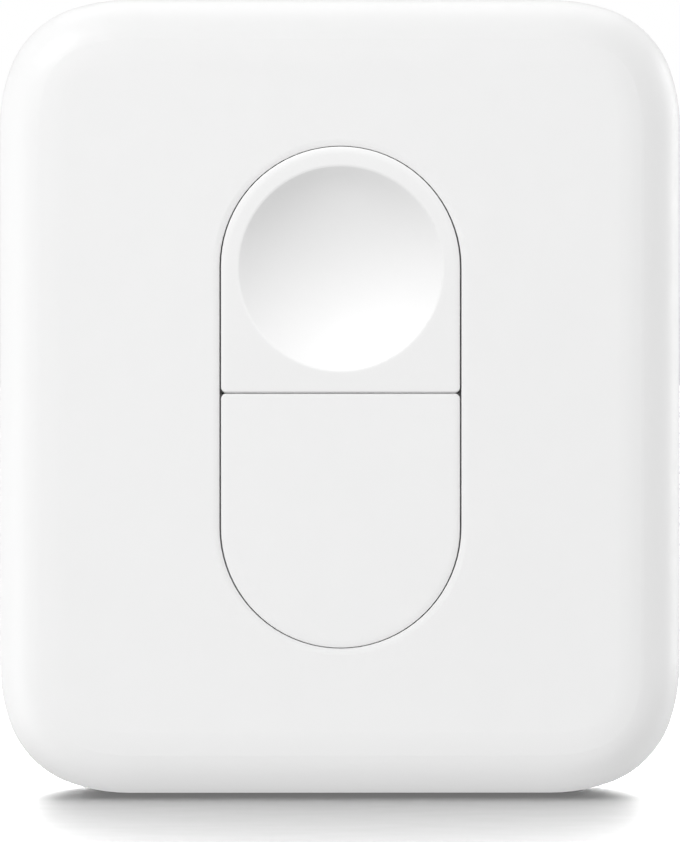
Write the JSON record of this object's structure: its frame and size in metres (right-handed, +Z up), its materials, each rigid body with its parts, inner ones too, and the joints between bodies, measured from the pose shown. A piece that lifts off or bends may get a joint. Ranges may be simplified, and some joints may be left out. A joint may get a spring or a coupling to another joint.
{
  "type": "smart remote control",
  "caption": "Pocket smart-home remote: rounded white housing with a dished button above a flat one in a capsule-shaped opening, clip-on back and coin cell.",
  "frame": {"origin": "middle of the bottom edge that it stands on, half way through its thickness", "axes": "+Z up along its length, front face with the buttons towards -Y, back towards +Y, +X to the right as the buttons are seen"},
  "size_m": [0.0368, 0.012, 0.043],
  "materials": {
    "white_shell": "satin moulded ABS",
    "white_caps": "satin moulded ABS",
    "guide_plastic": "natural moulded acetal",
    "tray_plastic": "fine-grained moulded ABS",
    "board_laminate": "green solder mask over glass fibre",
    "chip_epoxy": "moulded epoxy",
    "crystal_lid": "seam-welded lid",
    "led_body": "cast resin",
    "capacitor_ceramic": "fired ceramic",
    "resistor_body": "glazed black",
    "antenna_copper": "copper under clear mask",
    "pad_gold": "gilded",
    "contact_spring": "nickel-plated spring steel",
    "screw_steel": "zinc-plated",
    "switch_moulding": "glass-filled nylon",
    "switch_steel": "stamped",
    "plunger_moulding": "natural nylon",
    "solder_legs": "tinned",
    "cell_steel": "nickel-plated, circular brushing",
    "cell_seal": "moulded",
    "cell_filling": "pressed powder and foil"
  },
  "bodies": {
    "housing": {"front_shell": "white_shell", "guide_plate": "guide_plastic", "battery_tray": "tray_plastic", "circuit_board": "board_laminate", "bluetooth_chip": "chip_epoxy", "timing_crystal": "crystal_lid", "status_led": "led_body", "chip_capacitors": "capacitor_ceramic", "chip_resistors": "resistor_body", "antenna_trace": "antenna_copper", "test_pads": "pad_gold", "positive_contact": "contact_spring", "negative_contact": "contact_spring", "tray_screws": "screw_steel", "upper_switch_base": "switch_moulding", "upper_switch_cover": "switch_steel", "upper_switch_dome": "switch_steel", "upper_switch_terminals": "solder_legs", "lower_switch_base": "switch_moulding", "lower_switch_cover": "switch_steel", "lower_switch_dome": "switch_steel", "lower_switch_terminals": "solder_legs"},
    "upper_cap": {"upper_button": "white_caps"},
    "lower_cap": {"lower_button": "white_caps"},
    "upper_plunger": {"upper_switch_plunger": "plunger_moulding"},
    "lower_plunger": {"lower_switch_plunger": "plunger_moulding"},
    "back": {"rear_cover": "white_shell"},
    "coin_cell": {"cell_can": "cell_steel", "cell_gasket": "cell_seal", "cell_cap": "cell_steel", "cell_electrodes": "cell_filling"}
  },
  "joints": [
    {"name": "upper_button_press", "type": "slide", "parent": "housing", "child": "upper_cap", "axis": [0, 1, 0], "range_m": [0, 0.0003], "stiffness_N_per_m": 2000, "springref_m": -0.0005},
    {"name": "upper_plunger_press", "type": "slide", "parent": "housing", "child": "upper_plunger", "axis": [0, 1, 0], "range_m": [0, 0.0003], "deforming": ["upper_switch_dome"]},
    {"name": "lower_button_press", "type": "slide", "parent": "housing", "child": "lower_cap", "axis": [0, 1, 0], "range_m": [0, 0.0003], "stiffness_N_per_m": 2000, "springref_m": -0.0005},
    {"name": "lower_plunger_press", "type": "slide", "parent": "housing", "child": "lower_plunger", "axis": [0, 1, 0], "range_m": [0, 0.0003], "deforming": ["lower_switch_dome"]},
    {"name": "rear_cover_release", "type": "slide", "parent": "housing", "child": "back", "axis": [0, 1, 0], "range_m": [0, 0.016]},
    {"name": "coin_cell_lift", "type": "slide", "parent": "housing", "child": "coin_cell", "axis": [0, 1, 0], "range_m": [0, 0.008]}
  ],
  "couplings": [
    {"joint": "upper_plunger_press", "follows": "upper_button_press", "ratio": 1},
    {"joint": "lower_plunger_press", "follows": "lower_button_press", "ratio": 1},
    {"joint": "coin_cell_lift", "follows": "rear_cover_release", "ratio": 0.5}
  ]
}
